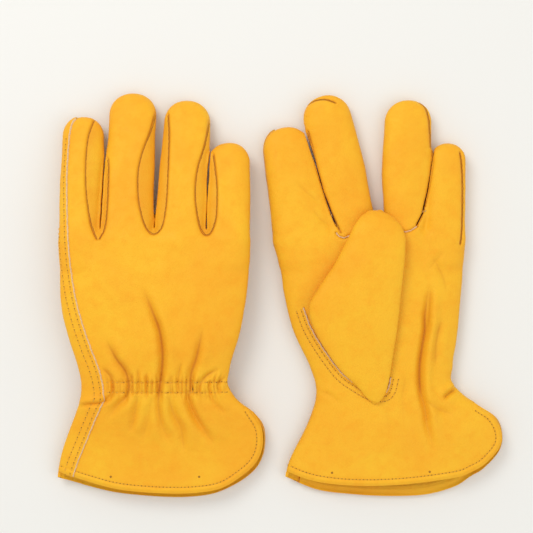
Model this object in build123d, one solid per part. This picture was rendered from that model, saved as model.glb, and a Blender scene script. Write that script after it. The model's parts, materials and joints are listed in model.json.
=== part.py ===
"""A pair of leather work gloves lying side by side: the right one back up, the left one palm up.

Each glove is a hollow leather shell. Its palm panel wraps over the index side and laps onto the back panel,
a fork fronts the two middle fingers, and a keystone thumb lies folded flat over the palm. The outer half of
each finger and the whole thumb hinge, so they are cut free of the hand. Threads run along their seams, an
elastic band gathers the back of the wrist from inside, and the cuff's edges are turned in.

Millimetres, +Z up, fingers along +Y. The origin is on the table under the middle of the pair. Each glove is
drawn about its own origin at the wrist and then moved to its place.
"""

import os
from math import cos, pi, sin

from build123d import *

# Driving dimensions.
LEATHER = 1.2  # thickness of every leather panel
SECTION_POWER = 2.8  # of the superellipse sections: 2 is an ellipse, more is boxier
ARC_POINTS = 11  # along one half of a section
KNUCKLE_Y = 95.0  # where the fingers leave the hand
HINGE_GAP = 0.5  # between the inner and the outer half of a finger
THUMB_CLEAR = 0.5  # between the folded thumb and the palm
ELASTIC_THICK = 0.8
ELASTIC_LOW = (-33.0, -3.4)  # x, y of the band's corner by the index side and the cuff
ELASTIC_HIGH = (44.0, 6.0)
ELASTIC_ROWS = (-2.0, 4.5)  # y of the threads that hold the elastic
HEM_TURN = 6.5  # how far the cuff's edge is turned in
HEM_THICK = 0.9
HEM_ROW = 4.0  # from the cuff's edge to its thread
LAYER_GAP = 0.1  # between a panel and what is sewn against its inside
LAP_ROWS = (2.0, 6.0)  # from the edge of the lapped strip to its threads
THUMB_ROWS = (2.0, 5.0)  # from the thumb's seam to its threads
THREAD_RADIUS = 0.35
TAG_HOLE_RADIUS = 0.6  # two small holes in the upper side of each cuff
LONG = 400.0  # longer than a glove, for solids that only cut

# hand: y, left x, right x, middle z and half thickness of each section; the cuff end runs past its hem.
# fingers: x on the knuckle line, tip x and y, widths at the knuckle line, hinge and tip, y of the hinge.
# slope: how the fingers dip. finger_half: half thickness at the knuckle line and at the tip.
RIGHT = {
    "place": (-80.0, -59.1),
    "palm_up": False,
    "hand": [
        (-84, -66.0, 76.0, 7.7, 8.0),
        (-54, -62.6, 77.0, 7.8, 8.0),
        (-32, -57.2, 76.0, 9.2, 8.0),
        (-16, -50.6, 64.0, 13.0, 7.6),
        (-8, -47.8, 53.0, 15.0, 7.2),
        (2, -47.0, 46.4, 16.8, 7.0),
        (12, -48.6, 47.4, 18.4, 7.4),
        (33, -54.6, 53.8, 20.4, 8.2),
        (55, -59.4, 58.0, 20.8, 8.6),
        (76, -60.4, 59.6, 20.6, 8.6),
        (KNUCKLE_Y, -60.4, 60.6, 19.9, 8.0),
    ],
    "fingers": {
        "index": (-48.2, (-46.2, 173.2), 24.2, 26.4, 26.8, 132),
        "middle": (-18.3, (-14.6, 188.6), 34.0, 32.0, 31.0, 142),
        "ring": (15.8, (20.4, 184.0), 32.2, 31.0, 30.2, 140),
        "little": (47.0, (48.0, 156.6), 27.0, 27.4, 27.0, 124),
    },
    "slope": -0.139,
    "finger_half": (8.0, 7.2),
    "back_hem": [(-64, -53.4), (-42, -60), (-23.7, -64.6), (0, -66.9), (23.5, -67), (42.2, -64),
                 (56, -55.7), (64.6, -47.5), (68.6, -37.5), (68.0, -25), (60.4, -13.4)],
    "palm_hem": [(-64, -55.6), (-41.6, -62.9), (-24, -67.2), (0, -69.8), (20, -70.2), (37, -68.2),
                 (51, -62.8), (62, -55), (68, -46.6), (70.4, -36), (69.2, -24), (60.4, -13.4)],
    "tag_holes": [(-28.2, -56.5), (28.2, -56.5)],
}
LEFT = {
    "place": (66.0, -57.2),
    "palm_up": True,
    "hand": [
        (-84, -66.0, 82.0, 7.7, 8.0),
        (-54, -61.0, 84.0, 7.7, 8.0),
        (-32, -51.6, 83.0, 7.7, 8.0),
        (-18, -45.6, 71.0, 7.5, 7.8),
        (-8, -43.0, 53.0, 7.2, 7.5),
        (2, -43.8, 43.4, 7.0, 7.3),
        (12, -47.4, 44.2, 7.1, 7.4),
        (33, -57.2, 48.0, 7.8, 8.1),
        (55, -62.8, 49.8, 8.2, 8.5),
        (76, -66.4, 50.8, 8.2, 8.5),
        (KNUCKLE_Y, -69.6, 52.4, 7.8, 8.0),
    ],
    "fingers": {
        "index": (-50.0, (-63.8, 164.8), 39.2, 32.2, 29.8, 126),
        "middle": (-14.6, (-35.0, 184.6), 28.4, 31.2, 31.0, 138),
        "ring": (13.0, (14.4, 182.6), 25.0, 30.8, 30.8, 136),
        "little": (39.6, (43.4, 154.8), 25.4, 23.8, 23.6, 122),
    },
    "slope": -0.006,
    "finger_half": (8.0, 7.3),
    "palm_hem": [(-64, -54.6), (-47.4, -60.8), (-28.4, -63.7), (-5, -64.4), (18.6, -62.9), (46.7, -59),
                 (65.5, -50.2), (74.6, -39.5), (75.4, -29.4), (70.2, -19.6), (60.4, -13.4)],
    "back_hem": [(-64, -56.6), (-42.4, -66.6), (-19.2, -70), (4, -71.4), (28, -70.6), (46.7, -64.6),
                 (65.3, -54.4), (74.9, -43.8), (77.4, -33.5), (73.6, -22), (60.4, -13.4)],
    "tag_holes": [(-32.9, -56.0), (29.4, -55.3)],
}

# The folded thumb's axis, and its sections: distance along the axis, left and right edge, half thickness.
THUMB_AXIS = ((-26.0, 20.0), (-3.2, 111.0))
THUMB_SECTIONS = [
    (-18.5, 17.0, 32.0, 1.9),
    (-11.7, 2.4, 32.2, 2.4),
    (-0.6, -11.0, 31.4, 3.2),
    (11.0, -22.0, 30.2, 4.0),
    (24.0, -28.2, 29.0, 4.8),
    (34.0, -26.6, 27.8, 5.2),
    (44.0, -23.0, 26.4, 5.5),
    (54.0, -19.6, 24.8, 5.6),
    (64.0, -17.0, 23.2, 5.6),
    (74.0, -14.6, 21.6, 5.6),
    (84.0, -12.0, 18.4, 5.0),
    (90.0, -8.6, 12.8, 3.8),
    (93.4, -3.4, 5.4, 2.0),
]
THUMB_SEAM = [(-50.4, 50.3), (-45.2, 36.2), (-36.8, 22.1), (-26.5, 8.4), (-16.2, 1.2), (-5.8, -3.9),
              (1.3, -3.2)]
THUMB_HOLE = ((-20.0, 22.0), 40.0, 15.0)  # centre, length along the seam's chord, width
# The edge of the palm leather where it laps over the back, from the cuff to the index fingertip.
LAP_EDGE = [(-56, -95), (-51.5, -53), (-43.1, -32), (-33.4, -9), (-32.6, 2), (-34.8, 13), (-39.6, 26),
            (-45.0, 42), (-49.6, 60), (-52.6, 80), (-54.6, 110), (-55.2, 140), (-53.0, 176)]


def arc(section, up, inset=0.0):
    """The upper (up = 1) or lower (up = -1) half of a superellipse, from its left end to its right end."""
    plane, middle, half_width, rise, half_height = section
    wide = max(half_width - inset, 0.8)
    high = max(half_height - inset, 0.5)
    points = []
    for i in range(ARC_POINTS):
        turn = pi * (1 - i / (ARC_POINTS - 1))
        across = abs(cos(turn)) ** (2 / SECTION_POWER) * (1 if cos(turn) > 0 else -1)
        over = max(sin(turn), 0) ** (2 / SECTION_POWER) * up
        points.append(plane.from_local_coords(Vector(middle + wide * across, rise + high * over, 0)))
    return Edge.make_spline(points)


def half_band(section, up, near=0.0, far=LEATHER):
    """Half a ring, between two insets of a section."""
    outer = arc(section, up, near)
    inner = arc(section, up, far)
    right = Edge.make_line(outer @ 1, inner @ 1)
    left = Edge.make_line(inner @ 0, outer @ 0)
    return Face(Wire([outer, right, inner, left]))


def half_plug(section, up):
    edge = arc(section, up)
    return Face(Wire([edge, Edge.make_line(edge @ 0, edge @ 1)]))


def hollow_face(section, shift=0.0):
    """The space inside the leather at a section, moved along the way the section faces."""
    plane, *sizes = section
    moved = (plane.offset(shift), *sizes)
    return Face(Wire([arc(moved, 1, LEATHER), arc(moved, -1, LEATHER)]))


def closed_half(sections, up, open_start):
    """Half of a shell that its last section closes, and its first too unless open_start."""
    start = hollow_face(sections[0], 2.0 if open_start else -LEATHER)
    end = hollow_face(sections[-1], LEATHER)
    hollow = loft([start, *[hollow_face(s) for s in sections[1:-1]], end])
    return loft([half_plug(s, up) for s in sections]) - hollow


def front_of(glove):
    """+1 where the palm faces up, -1 where it faces down."""
    return 1 if glove["palm_up"] else -1


def hand_sections(glove):
    sections = []
    for y, left, right, middle, half in glove["hand"]:
        plane = Plane(origin=(0, y, 0), x_dir=(1, 0, 0), z_dir=(0, -1, 0))
        sections.append((plane, (left + right) / 2, (right - left) / 2, middle, half))
    return sections


def finger_sections(glove, name):
    """Sections of a finger from the knuckle line to its hinge, and from its hinge to its tip."""
    root_x, tip, root_width, hinge_width, tip_width, hinge_y = glove["fingers"][name]
    root_half, tip_half = glove["finger_half"]
    middle = glove["hand"][-1][3]
    start = Vector(root_x, KNUCKLE_Y, middle)
    end = Vector(*tip, middle + glove["slope"] * (tip[1] - KNUCKLE_Y))
    along = (end - start).normalized()
    across = along.cross(Vector(0, 0, 1)).normalized()
    hinge = (hinge_y - KNUCKLE_Y) / along.Y
    dome = tip_width / 2
    dome_start = (end - start).length - dome

    def section(distance, width, half):
        plane = Plane(origin=start + along * distance, x_dir=across, z_dir=-along)
        return plane, 0, width / 2, 0, half

    knuckle = Plane(origin=start, x_dir=(1, 0, 0), z_dir=(0, -1, 0))
    root = [
        (knuckle, 0, root_width / 2, 0, root_half),
        section(hinge / 2, (root_width + hinge_width) / 2, root_half),
        section(hinge - HINGE_GAP / 2, hinge_width, root_half),
    ]
    tip = []
    first = hinge + HINGE_GAP / 2
    for share in (0, 0.25, 0.5, 0.75):
        width = hinge_width + (tip_width - hinge_width) * share
        half = root_half + (tip_half - root_half) * share
        tip.append(section(first + (dome_start - first) * share, width, half))
    for rounding in (0, 0.32, 0.57, 0.76, 0.89, 0.96, 0.995):
        narrow = (1 - rounding**2) ** 0.5
        tip.append(section(dome_start + rounding * dome, tip_width * narrow, tip_half * narrow**0.7))
    return root, tip


def palm_height(glove, y):
    """Height of the palm's outer face along the middle of the hand and the middle finger."""
    heights = [(row[0], row[3] + front_of(glove) * row[4]) for row in glove["hand"]]
    reach = 40.0
    heights.append((KNUCKLE_Y + reach, heights[-1][1] + glove["slope"] * reach))
    for (y0, z0), (y1, z1) in zip(heights, heights[1:]):
        if y <= y1:
            return z0 + (z1 - z0) * (y - y0) / (y1 - y0)
    return heights[-1][1]


def thumb_sections(glove):
    """The thumb lies on the palm side, its near face just clear of the palm."""
    front = front_of(glove)
    start = Vector(*THUMB_AXIS[0])
    along = (Vector(*THUMB_AXIS[1]) - start).normalized()
    across = Vector(along.Y, -along.X)
    sections = []
    for distance, left, right, half in THUMB_SECTIONS:
        centre = start + along * distance
        spots = [centre + across * offset for offset in (left, (left + right) / 2, right)]
        palm = max(palm_height(glove, spot.Y) * front for spot in spots)
        rise = front * (palm + THUMB_CLEAR + half)
        plane = Plane(origin=centre, x_dir=across, z_dir=-along)
        sections.append((plane, (left + right) / 2, (right - left) / 2, rise, half))
    return sections


def prism(points, corners):
    """A tall solid on the region bounded by a curve through points and straight lines through corners."""
    curve = Edge.make_spline([Vector(*p, -LONG / 2) for p in points])
    path = [curve @ 1, *[Vector(*c, -LONG / 2) for c in corners], curve @ 0]
    lines = [Edge.make_line(a, b) for a, b in zip(path, path[1:])]
    return extrude(Face(Wire([curve, *lines])), LONG, dir=(0, 0, 1))


def inside_hem(points):
    """A tall solid on everything on the hand's side of a hem line."""
    first, last = points[0], points[-1]
    side = LONG / 2
    return prism(points, [(side, last[1] + 60), (side, LONG), (-side, LONG), (-side, first[1])])


def shifted(points, distance):
    """A line of points moved sideways, to the left of the way it runs."""
    moved = []
    for i, (x, y) in enumerate(points):
        before = points[max(i - 1, 0)]
        after = points[min(i + 1, len(points) - 1)]
        way = Vector(after[0] - before[0], after[1] - before[1]).normalized()
        moved.append((x - way.Y * distance, y + way.X * distance))
    return moved


def thread(points, panel, side):
    """A thread along the points, half sunk in the panel's top (side = 1) or bottom (side = -1).

    Where the panel lies on the table the thread is pressed into it, clear of the table.
    """
    on_panel = []
    for x, y in points:
        hits = panel & Edge.make_line((x, y, -LONG / 2), (x, y, LONG / 2))
        heights = [v.Z * side for hit in (hits or []) for v in hit.vertices()]
        if heights:
            on_panel.append(Vector(x, y, max(max(heights) * side, THREAD_RADIUS)))
    path = Edge.make_spline(on_panel)
    disc = Face(Wire.make_circle(THREAD_RADIUS, Plane(origin=path @ 0, z_dir=path % 0)))
    return sweep(disc, path=Wire([path]))


def between(points, low, high, count):
    """Points of a curve through the given ones, kept where y is between low and high."""
    curve = Edge.make_spline([Vector(*p) for p in points])
    spots = [curve @ (i / (count - 1)) for i in range(count)]
    return [(s.X, s.Y) for s in spots if low <= s.Y <= high]


def hand_pieces(glove):
    """The pieces of the hand itself, and the outer halves of the fingers."""
    front = front_of(glove)
    sections = hand_sections(glove)
    lap = prism(LAP_EDGE, [(-LONG / 2, LAP_EDGE[-1][1]), (-LONG / 2, LAP_EDGE[0][1])])
    back_region = inside_hem(glove["back_hem"])
    palm_region = inside_hem(glove["palm_hem"])

    back = loft([half_band(s, -front) for s in sections]) & back_region
    palm = loft([half_band(s, front) for s in sections]) & palm_region
    lapped = back & lap
    back -= lap
    fork = []
    tips = {}
    for name in glove["fingers"]:
        root, tip = finger_sections(glove, name)
        root_back = loft([half_band(s, -front) for s in root])
        root_front = loft([half_band(s, front) for s in root])
        tip_back = closed_half(tip, -front, open_start=True)
        tip_front = closed_half(tip, front, open_start=True)
        if name == "index":
            lapped += root_back & lap
            tip_front += tip_back & lap
            root_back -= lap
            tip_back -= lap
        back += root_back
        if name in ("middle", "ring"):
            fork.append(root_front)
        else:
            palm += root_front
        tips[f"{name}_tip_back"] = tip_back
        tips[f"{name}_tip_front"] = tip_front

    pieces = {"finger_fork": Compound(fork), **tips}
    inner = LEATHER + LAYER_GAP
    for piece, up, line, region in (
        ("back_hem", -front, glove["back_hem"], back_region),
        ("palm_hem", front, glove["palm_hem"], palm_region),
    ):
        turn = loft([half_band(s, up, inner, inner + HEM_THICK) for s in sections])
        pieces[piece] = turn & (region - inside_hem(shifted(line, HEM_TURN)))
    band = loft([half_band(s, -front, inner, inner + ELASTIC_THICK) for s in sections])
    low = Vector(*ELASTIC_LOW, -LONG / 2)
    high = Vector(*ELASTIC_HIGH, LONG / 2)
    window = Pos((low + high) / 2) * Box(*(high - low))
    pieces["elastic_band"] = band & window

    hole = Cylinder(TAG_HOLE_RADIUS, LONG / 2)
    holes = [Pos(x, y, LONG / 4 + sections[0][3]) * hole for x, y in glove["tag_holes"]]
    if glove["palm_up"]:
        palm -= holes
    else:
        back -= holes
    start, end = THUMB_SEAM[0], THUMB_SEAM[-1]
    chord = Vector(end[0] - start[0], end[1] - start[1])
    angle = Vector(1, 0).get_signed_angle(chord)
    centre, length, width = THUMB_HOLE
    slot = Pos(*centre, -LONG / 2) * Rot(0, 0, angle) * SlotOverall(length, width)
    keystone = extrude(slot, LONG, dir=(0, 0, 1))
    palm_layer = Pos(0, 0, palm_height(glove, centre[1])) * Box(LONG, LONG, 12)
    palm -= keystone & palm_layer
    pieces["palm_panel"] = Compound([*palm.solids(), *lapped.solids()])
    pieces["back_panel"] = back
    thumb = thumb_sections(glove)
    pieces["thumb_outer"] = closed_half(thumb, front, open_start=False)
    pieces["thumb_inner"] = closed_half(thumb, -front, open_start=False) - keystone
    return pieces


def threads(glove, pieces):
    """The threads that show on the outside, each on the panel it is sewn through."""
    front = front_of(glove)
    palm, back = pieces["palm_panel"], pieces["back_panel"]
    low_x, high_x = ELASTIC_LOW[0] + 2, ELASTIC_HIGH[0] - 4
    span = [low_x + (high_x - low_x) * i / 12 for i in range(13)]
    sewn = {"elastic_stitches": [thread([(x, y) for x in span], back, -front) for y in ELASTIC_ROWS]}

    hinge_y = glove["fingers"]["index"][-1]
    lap_rows = [between(shifted(LAP_EDGE, distance), -50, hinge_y - 3, 60) for distance in LAP_ROWS]
    sewn["lap_stitches"] = [thread(row, palm, -front) for row in lap_rows]
    # On the outer half of the finger the strip is narrower, with room for one row.
    tip_row = between(shifted(LAP_EDGE, LAP_ROWS[0]), hinge_y + 3, 158, 90)
    sewn["index_tip_stitches"] = [thread(tip_row, pieces["index_tip_front"], -front)]
    rows = [shifted(THUMB_SEAM, -distance)[1:] for distance in THUMB_ROWS]
    sewn["thumb_stitches"] = [thread(row, palm, front) for row in rows]
    hems = []
    for line, panel, up in ((glove["back_hem"], back, -front), (glove["palm_hem"], palm, front)):
        row = shifted(line, HEM_ROW)[2:-1]
        hems.append(thread(row, panel, up))
    sewn["hem_stitches"] = hems
    return {node: Compound(rods) for node, rods in sewn.items()}


def flattened(shape):
    """A shape with what would lie below the table cut off."""
    if shape.bounding_box().min.Z >= 0:
        return shape
    return shape - Pos(0, 0, -LONG / 2) * Box(2 * LONG, 2 * LONG, LONG)


if __name__ == "__main__":
    os.makedirs("parts", exist_ok=True)
    for side, glove in (("right", RIGHT), ("left", LEFT)):
        pieces = hand_pieces(glove)
        pieces.update(threads(glove, pieces))
        for node, shape in pieces.items():
            export_step(flattened(Pos(*glove["place"], 0) * shape), f"parts/{side}_{node}.step")
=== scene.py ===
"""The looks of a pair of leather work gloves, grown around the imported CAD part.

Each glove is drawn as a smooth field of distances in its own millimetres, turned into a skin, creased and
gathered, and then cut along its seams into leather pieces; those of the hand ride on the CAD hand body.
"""

import math

import bpy
import numpy as np
import openvdb
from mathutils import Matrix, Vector
from mathutils.bvhtree import BVHTree
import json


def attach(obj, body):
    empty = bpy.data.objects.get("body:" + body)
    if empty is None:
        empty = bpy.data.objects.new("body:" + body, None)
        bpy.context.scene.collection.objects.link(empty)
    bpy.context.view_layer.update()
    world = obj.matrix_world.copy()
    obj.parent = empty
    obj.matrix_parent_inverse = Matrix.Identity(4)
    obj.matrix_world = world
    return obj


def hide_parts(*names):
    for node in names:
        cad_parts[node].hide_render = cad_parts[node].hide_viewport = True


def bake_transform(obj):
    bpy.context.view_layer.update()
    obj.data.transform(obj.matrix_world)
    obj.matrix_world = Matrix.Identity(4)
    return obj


MM = 0.001
CELL = 0.6  # mm between samples of the field
POWER = 2.5  # of the superellipse sections
KNUCKLE = 95.0  # y where the fingers leave the hand
LEATHER = 1.2
SLOT = 0.38  # half the width of the slot between touching fingers
# The box that a glove's field fills.
LOW = np.array([-84.0, -90.0, -3.0])
HIGH = np.array([92.0, 194.0, 36.0])
DISC_POINTS = 8
HOLE_RADIUS = 0.42

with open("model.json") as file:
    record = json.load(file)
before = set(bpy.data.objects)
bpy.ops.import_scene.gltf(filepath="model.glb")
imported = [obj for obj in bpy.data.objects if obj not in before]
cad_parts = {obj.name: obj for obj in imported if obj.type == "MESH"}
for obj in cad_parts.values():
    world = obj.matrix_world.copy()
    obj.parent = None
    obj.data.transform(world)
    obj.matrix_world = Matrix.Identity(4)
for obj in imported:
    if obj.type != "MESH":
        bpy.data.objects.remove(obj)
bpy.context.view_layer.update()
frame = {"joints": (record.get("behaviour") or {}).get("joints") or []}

# Each glove in its own millimetres, fingers along +y, its index finger at low x.
# hand: y, left x, right x, middle z, half thickness. fingers: root x, tip, widths at root, middle and tip.
RIGHT = {
    "front": -1,
    "hand": [(-90, -66.5, 76, 7.6, 7.2), (-64, -64.2, 76, 7.6, 7), (-50, -62, 76, 7.8, 7.1),
             (-32, -57, 76, 9.2, 7.4), (-16, -50.4, 64, 13, 7.5), (-8, -47.6, 53.4, 15.2, 7.2),
             (2, -46.6, 46.6, 16.8, 6.9), (12, -48.4, 47.8, 18.2, 7.3), (33, -54.4, 53.8, 20.2, 8.1),
             (55, -58.8, 58, 20.6, 8.5), (76, -59.6, 59.8, 20.3, 8.5), (100, -59.6, 60.8, 19.6, 8)],
    "fingers": {
        "index": ((-47.4, 95), (-45.2, 173.4), 25.2, 26.6, 26),
        "middle": ((-18.2, 95), (-14, 188.8), 34.2, 31.6, 30.2),
        "ring": ((16, 95), (21, 184.2), 32.6, 31.4, 29.6),
        "little": ((47, 95), (47.4, 156.8), 27.8, 27.4, 26.4),
    },
    # Where neighbouring fingers part, from the index side.
    "partings": [
        [(-34.6, 88), (-34.4, 97), (-33.6, 116), (-32.6, 140), (-31.8, 150), (-31, 165), (-30, 200)],
        [(0, 88), (0, 98), (1, 120), (2.5, 160), (3.5, 200)],
        [(32.8, 88), (33, 100), (33.4, 120), (34.2, 140), (35.2, 150), (37.5, 160), (40, 200)],
    ],
    "slope": -0.139,
    "half": (8, 7.2),
    "back_hem": [(-70, -52), (-63.5, -53.6), (-42, -60), (-23.7, -64.6), (0, -66.9), (23.5, -67),
                 (42.2, -64), (56, -55.7), (64.6, -47.5), (68.6, -37.5), (68, -25), (61.4, -13.4)],
    "palm_hem": [(-70, -55.4), (-63.5, -57.6), (-41.6, -64.3), (-24, -68.3), (0, -70.7), (20, -71),
                 (37, -68.8), (51, -62.8), (62, -55), (68, -46.6), (70.4, -36), (69.2, -24), (61.4, -13.4)],
    "tag_holes": [(-28.2, -56.5), (28.2, -56.5)],
    # Seams round the backs of the fingers, which turn inside out there and sink.
    "seams": [
        [(-38, 173), (-39.6, 169), (-42.6, 157.4), (-43.5, 139.5), (-42.6, 122.9), (-39.7, 105.6),
         (-35.8, 95)],
        [(-29.9, 146), (-29.4, 138), (-29.8, 116.5), (-31, 103), (-34.2, 95)],
        [(0.6, 176), (-2.6, 163.8), (-7.7, 149.8), (-10.2, 136.3), (-9.6, 119.7), (-6.4, 106.2),
         (-3.2, 100.2), (0, 98.4), (3.2, 100.2), (5.8, 105), (7.7, 118.4), (8.6, 139.5), (8.9, 161.3),
         (8, 175)],
        [(35.2, 172), (32, 154.9), (27.5, 138.9), (26.2, 122.9), (28.2, 107.5), (30.4, 100.6), (33, 97.8),
         (35.6, 99), (38.2, 104.5), (39.5, 112), (39.7, 127.4), (38.4, 139.5), (37.1, 149)],
    ],
    # The side of each seam where the finger's side wall lies lower.
    "walls": (1, -1, 1, 1),
    # Creases: points, depth, width.
    "creases": [
        ([(-5.6, 62.5), (-0.9, 50.3), (3.8, 37.2), (5.6, 24.1), (5.2, 12.8), (3.3, -0.4), (2.8, -10.7),
          (4.7, -22.9), (10.3, -34.2)], 2.6, 2.4),
        ([(-29.1, 30.8), (-23.5, 19.4), (-17.8, 10.9), (-15.9, 1.5), (-17.8, -5), (-23.5, -10.7),
          (-30, -19)], 1.9, 2.3),
        ([(-32.8, 13.7), (-28.2, 9), (-26.3, 3.4), (-26.7, -4.1), (-31, -8.8)], 1.3, 1.6),
        ([(31, 38.3), (27.2, 20.3), (23.5, 9), (23, -0.4), (22.1, -6), (25.4, -17.3),
          (32, -28)], 1.8, 2.2),
        ([(41.5, 13.5), (32.9, 8.1), (29.6, 3.4), (28.6, -1.3), (31, -7)], 1.3, 1.5),
        ([(45.5, 8.1), (41.3, 4.3), (39.9, 1.5), (42.3, -2.4)], 1, 1.3),
        ([(36.5, 6), (34.6, 1.5), (36.6, -5.4)], 0.9, 1.2),
        ([(-9.8, 13.9), (-9.4, 5), (-9.6, -3)], 0.9, 1.2),
        ([(-13.1, 11.1), (-14.4, 3), (-13.2, -3)], 0.8, 1.1),
        ([(-4.4, 11.1), (-4.7, 4), (-4.2, -3.2)], 0.8, 1.1),
        ([(10.8, 9.3), (10.3, 4.3), (10.5, -5.1)], 0.9, 1.3),
        ([(17.6, 17.8), (15.5, 6.5), (16.4, -4.2)], 1, 1.3),
        ([(-21.8, 7), (-21.2, 1), (-22, -5)], 0.8, 1.1),
        ([(-10.3, -3), (-12.2, -15.4), (-15.6, -27.8)], 1.5, 2.2),
        ([(9, -3), (12.2, -15.4), (16.9, -25.7), (18.8, -40.8)], 1.6, 2.4),
        ([(33.7, -3.1), (38.6, -8.9), (45, -16)], 1, 1.6),
        ([(20.1, -3.1), (23.5, -12.6), (29.1, -22.9), (38.6, -36.2)], 1.5, 2.4),
        ([(-48.9, -11.5), (-41.3, -9.9), (-32.8, -8.3), (-27.2, -3.1)], 1.6, 1.3),
        ([(-1.6, -4), (-3.5, -16), (-8, -34)], 0.8, 2.6),
    ],
    "swells": [(-6, 20, 9, 16, 1.2), (-22, 24, 9, 15, 0.8), (16, 24, 8, 16, 1.1), (36, 26, 8, 14, 0.8),
               (-18, -20, 8, 14, 1.1), (3, -22, 6, 14, 0.9), (22, -24, 7, 12, 0.8), (40, -24, 9, 14, 1),
               (-34, -24, 7, 12, 0.9), (-30, 70, 22, 30, 0.5), (30, 68, 24, 26, 0.5)],
}
LEFT = {
    "front": 1,
    "hand": [(-90, -65.5, 82, 7, 6.8), (-64, -63.6, 84, 7, 6.8), (-50, -60.4, 84, 7.1, 6.9),
             (-32, -51.6, 83, 7.4, 7.2), (-18, -45.2, 71, 7.6, 7.4), (-8, -42.6, 53.4, 7.6, 7.4),
             (2, -43.4, 43.8, 7.5, 7.3), (12, -47.2, 44.4, 7.6, 7.4), (33, -57, 48, 7.9, 7.7),
             (55, -62.6, 49.8, 8.2, 8.1), (76, -66.2, 51, 8.1, 8), (100, -70.4, 52.6, 7.9, 7.8)],
    "fingers": {
        "index": ((-50.4, 95), (-64.2, 165.2), 40.6, 34.2, 30.4),
        "middle": ((-17.4, 95), (-39, 184.8), 28.6, 32, 31.2),
        "ring": ((13.8, 95), (16.6, 182.8), 25.6, 31.4, 30),
        "little": ((39.6, 95), (42.4, 155), 26.2, 24.4, 22.6),
    },
    "partings": [
        [(-26, 88), (-27.5, 97.5), (-32, 106.5), (-38.2, 123.5), (-43.9, 143.9), (-47.4, 154), (-50.2, 162),
         (-56, 172), (-75, 200)],
        [(-1.5, 88), (-2, 100), (-2.2, 105), (-6, 140), (-10, 200)],
        [(19, 92), (21.2, 102.5), (25, 110), (28.5, 125), (30.8, 140), (33, 152), (36, 165), (38, 200)],
    ],
    "slope": -0.006,
    "half": (7.8, 7.2),
    "palm_hem": [(-70, -51), (-63.5, -54.8), (-47.4, -60.8), (-28.4, -63.7), (-5, -64.4), (18.6, -62.9),
                 (46.7, -59), (57, -55.2), (65.5, -50.2), (74.6, -39.5), (75.4, -29.4), (70.2, -19.6),
                 (61.4, -13.4)],
    "back_hem": [(-70, -55.6), (-63.5, -59), (-42.4, -68), (-19.2, -71.2), (4, -72.4), (28, -71.4),
                 (46.7, -66.2), (57, -59.6), (65.3, -54.4), (74.9, -43.8), (77.4, -33.5), (73.6, -22),
                 (61.4, -13.4)],
    "tag_holes": [(-32.9, -56), (29.4, -55.3)],
    "seams": [
        [(-30.4, 97.5), (-28.9, 95.6), (-25.3, 94), (-20.4, 96), (-12, 96.6), (-2, 98)],
        [(6, 98), (13.4, 98), (17.4, 98.9), (21.4, 101.6)],
        [(49.2, 148.8), (50.2, 140), (50.8, 130), (50.8, 114.4), (50.2, 98), (49.2, 90)],
        [(-27.5, 97.5), (-32, 106.5), (-38.2, 123.5), (-43.9, 143.9), (-48.6, 162)],
        [(21.2, 102.5), (25, 110), (28.5, 125), (31, 140), (32, 151)],
        [(22.5, 181.6), (26.6, 178.2), (29.2, 171), (30.2, 160), (30.6, 152)],
        [(-51.8, 173), (-49.6, 178), (-44.5, 181.8), (-37.5, 182.8), (-30.5, 180.6)],
    ],
    "walls": (0, 0, 0, 0, 0, 0, 0),
    "creases": [
        ([(28.6, 62), (26.6, 44.7), (26.6, 35.3), (24.7, 23.1), (23.3, 10.9), (23.7, -3.2), (26.6, -15.4),
          (28, -26.7), (31.8, -40.1)], 2.9, 2.2),
        ([(29.8, 62), (28.9, 43.7), (28, 34)], 0.9, 2),
        ([(38.2, -9), (42.2, -5.2), (47.4, -2.4)], 2.2, 1.5),
        ([(27, -9.7), (35.5, -15.4), (44, -18.3)], 1.1, 2.4),
        ([(36.8, 42), (33.6, 27.8), (33, 12)], 0.9, 2.4),
        ([(40, 60), (37.5, 70), (31, 82)], 0.5, 2),
        ([(28, 74), (33, 79), (38, 86)], 0.4, 1.6),
        ([(-56, 130), (-49, 123), (-41, 117)], 0.35, 1.2),
        ([(-45, 112), (-40, 106), (-34, 102)], 0.35, 1.3),
        ([(-40, -4), (-33, -7), (-28, -12)], 0.5, 1.6),
        ([(14, 6), (12, -8), (13, -22)], 0.5, 2.6),
        ([(4, -8), (2, -18), (4, -30)], 0.4, 3),
    ],
    "swells": [(12, 40, 7, 30, 0.8), (36, 40, 8, 30, 0.9), (10, -28, 16, 14, 0.8), (-24, -30, 18, 16, 0.6),
               (48, -30, 14, 12, 1), (-54, 80, 14, 26, 0.5), (14, 130, 9, 22, 0.4),
               (-27, 132, 10, 24, 0.4)],
}
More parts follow.
